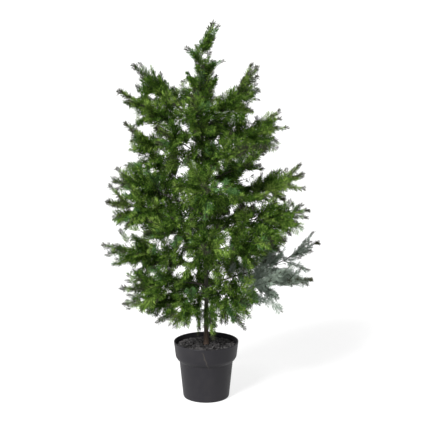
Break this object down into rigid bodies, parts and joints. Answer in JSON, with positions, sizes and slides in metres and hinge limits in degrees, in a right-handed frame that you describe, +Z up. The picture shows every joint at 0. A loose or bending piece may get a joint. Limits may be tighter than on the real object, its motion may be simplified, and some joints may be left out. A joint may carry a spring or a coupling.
{
  "type": "artificial potted cedar tree",
  "caption": "Bushy artificial cedar on a slender leaning trunk, with needled sprays all round, standing in a filled tapered black nursery pot",
  "frame": {"origin": "centre of the pot's flat underside, on the floor", "axes": "+Z up along the trunk, -Y towards the front of the plant, +X to the right seen from the front"},
  "size_m": [0.528, 0.4887, 0.9227],
  "materials": {
    "pot_plastic": "satin black moulded plastic",
    "fill_chips": "rough charcoal chips over a weighted fill",
    "trunk_bark": "wrapped, ridged, reddish brown at the foot, grey-brown above",
    "bough_bark": "wrapped wire, matt olive brown",
    "needles_mid": "soft matt green needles",
    "needles_bright": "soft yellow-green needles",
    "needles_deep": "soft dark green needles",
    "needles_grey": "soft grey-green needles"
  },
  "bodies": {
    "root": {"bough_back": "bough_bark", "bough_back_left": "bough_bark", "bough_back_low": "bough_bark", "bough_back_shoulder": "bough_bark", "bough_front": "bough_bark", "bough_front_left": "bough_bark", "bough_front_shoulder": "bough_bark", "bough_left": "bough_bark", "bough_left_back_shoulder": "bough_bark", "bough_left_low": "bough_bark", "bough_left_middle": "bough_bark", "bough_left_shoulder": "bough_bark", "bough_left_skirt": "bough_bark", "bough_right_front": "bough_bark", "bough_right_low": "bough_bark", "bough_right_middle": "bough_bark", "bough_right_shoulder": "bough_bark", "bough_right_skirt": "bough_bark", "bough_upper_back": "bough_bark", "bough_upper_left": "bough_bark", "bough_upper_right": "bough_bark", "foliage_back": "needles_deep", "foliage_back_left": "needles_deep", "foliage_back_low": "needles_deep", "foliage_back_shoulder": "needles_deep", "foliage_back_skirt": "needles_deep", "foliage_front": "needles_mid", "foliage_front_left": "needles_mid", "foliage_front_left_skirt": "needles_mid", "foliage_front_right_skirt": "needles_mid", "foliage_front_shoulder": "needles_mid", "foliage_hanging_front": "needles_mid", "foliage_hanging_right": "needles_mid", "foliage_leader": "needles_mid", "foliage_left": "needles_mid", "foliage_left_back_shoulder": "needles_deep", "foliage_left_back_skirt": "needles_deep", "foliage_left_low": "needles_mid", "foliage_left_middle": "needles_mid", "foliage_left_shoulder": "needles_mid", "foliage_left_skirt": "needles_mid", "foliage_right_front": "needles_mid", "foliage_right_low": "needles_grey", "foliage_right_middle": "needles_mid", "foliage_right_notch": "needles_deep", "foliage_right_shoulder": "needles_bright", "foliage_right_skirt": "needles_grey", "foliage_top_back": "needles_deep", "foliage_top_front": "needles_mid", "foliage_top_left": "needles_mid", "foliage_top_right": "needles_bright", "foliage_upper_back": "needles_deep", "foliage_upper_front_left": "needles_mid", "foliage_upper_front_right": "needles_mid", "foliage_upper_left": "needles_bright", "foliage_upper_right": "needles_bright", "pot": "pot_plastic", "pot_fill": "fill_chips", "trunk": "trunk_bark"}
  },
  "joints": []
}
